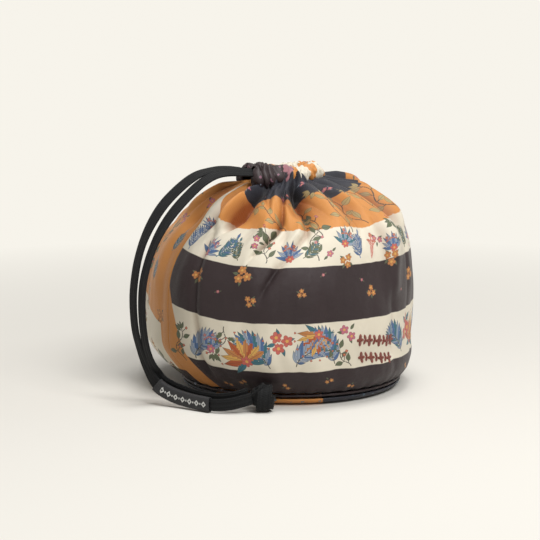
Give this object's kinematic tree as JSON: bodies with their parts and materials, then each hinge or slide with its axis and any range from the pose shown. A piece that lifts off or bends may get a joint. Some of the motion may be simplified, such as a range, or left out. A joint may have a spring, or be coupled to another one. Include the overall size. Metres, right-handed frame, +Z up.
{
  "type": "kinchaku drawstring pouch",
  "caption": "Small round drawstring pouch of striped satin, drawn shut at a scrunched mouth by a flat braided cord that ends in one knot.",
  "frame": {"origin": "centre of the round base, on the surface that the pouch stands on", "axes": "+Z up, the front panel faces -Y, the side seams are at -X and +X, and the drawcord leaves at -X"},
  "size_m": [0.2048, 0.1763, 0.1477],
  "materials": {
    "striped_satin": "soft satin sheen, printed in broad stripes",
    "patterned_satin": "soft satin sheen, printed",
    "base_satin": "soft satin sheen, printed",
    "dark_satin": "soft satin sheen",
    "black_braid": "matt flat braid with fine lengthwise ribs",
    "woven_tab": "tight satin-woven label tape"
  },
  "bodies": {
    "root": {"front_panel": "striped_satin", "back_panel": "patterned_satin", "base_panel": "base_satin", "base_piping": "dark_satin", "front_casing": "dark_satin", "back_casing": "patterned_satin", "drawcord_in_casing": "black_braid", "drawcord_front_strand": "black_braid", "drawcord_back_strand": "black_braid", "cord_tab": "woven_tab", "cord_knot": "black_braid"}
  },
  "joints": []
}
